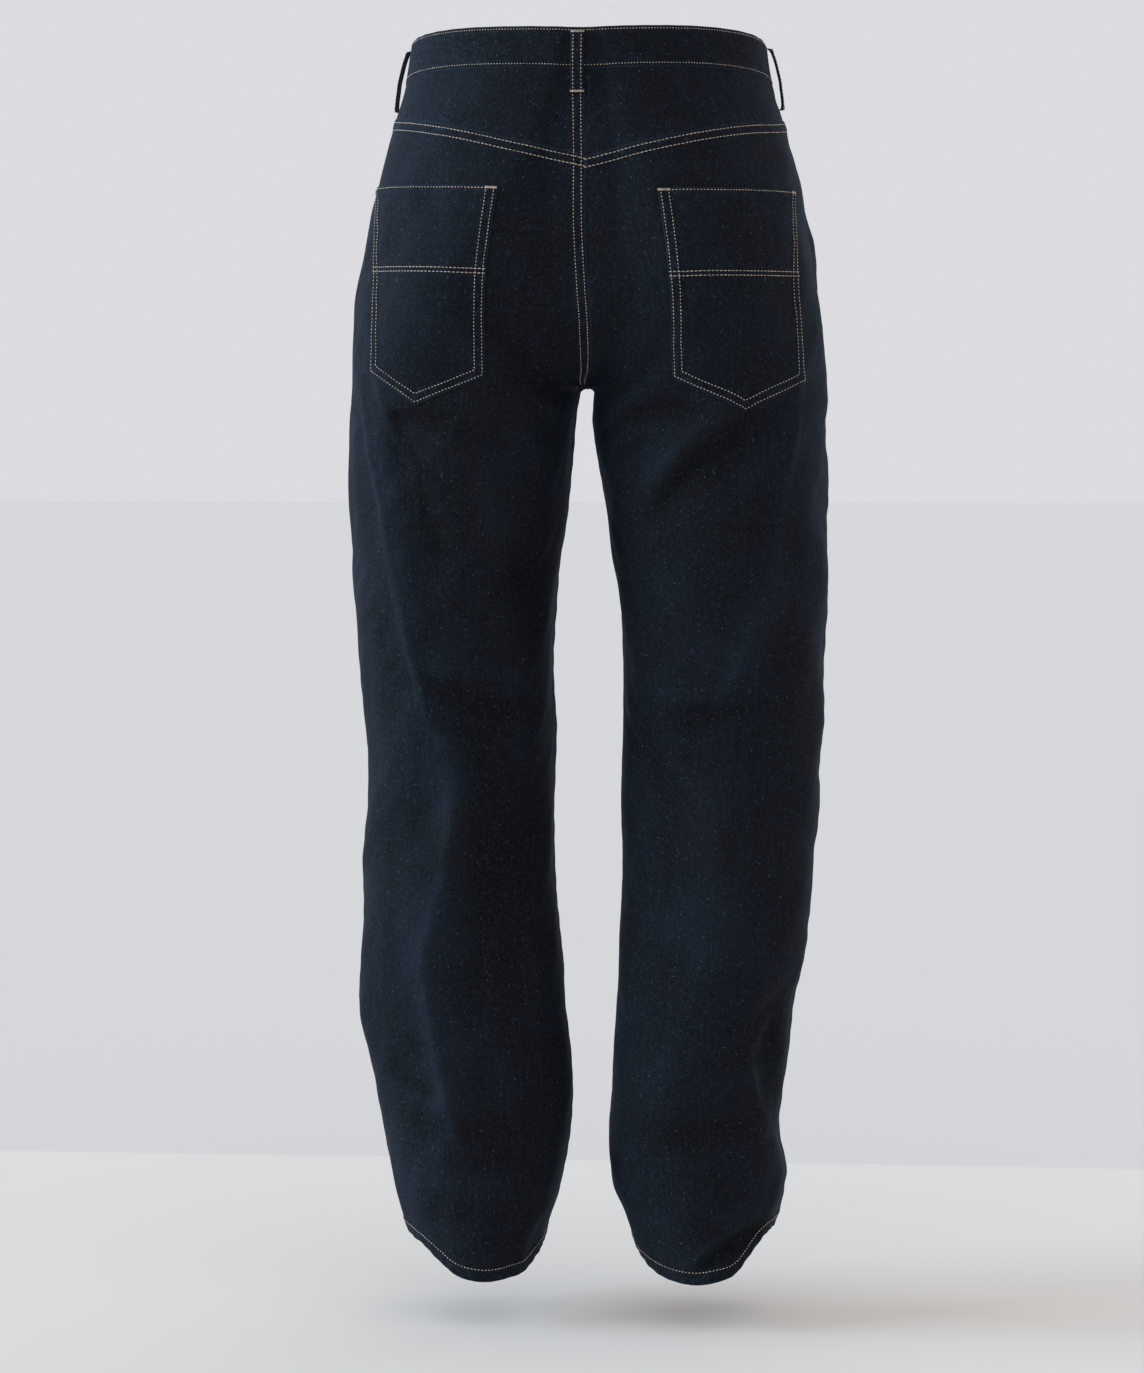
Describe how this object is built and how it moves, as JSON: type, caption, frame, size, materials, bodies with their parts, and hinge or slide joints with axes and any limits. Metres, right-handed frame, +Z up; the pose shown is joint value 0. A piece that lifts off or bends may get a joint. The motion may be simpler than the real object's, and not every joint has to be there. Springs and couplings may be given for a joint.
{
  "type": "pair of straight leg jeans",
  "caption": "Straight leg denim jeans in worn form, with yoke, patch pockets, belt loops and open waist and hems, held up at the waist.",
  "frame": {"origin": "middle of the waist opening, half way up the waistband, where the wearer holds the garment", "axes": "+Z up along the body, -Y to the wearer's front, +X to the wearer's left"},
  "size_m": [0.4155, 0.2589, 1.0706],
  "materials": {
    "denim": "dark indigo twill, raw and slubby, with a faint sheen",
    "antique_brass": "aged brass, brushed"
  },
  "bodies": {
    "root": {"waistband": "denim", "yoke_left": "denim", "yoke_right": "denim", "back_left": "denim", "back_right": "denim", "front_left": "denim", "front_right": "denim", "back_pocket_left": "denim", "back_pocket_right": "denim", "pocket_facing_left": "denim", "pocket_facing_right": "denim", "loop_back": "denim", "loop_side_left": "denim", "loop_side_right": "denim", "loop_front_left": "denim", "loop_front_right": "denim", "waist_button": "antique_brass"}
  },
  "joints": []
}
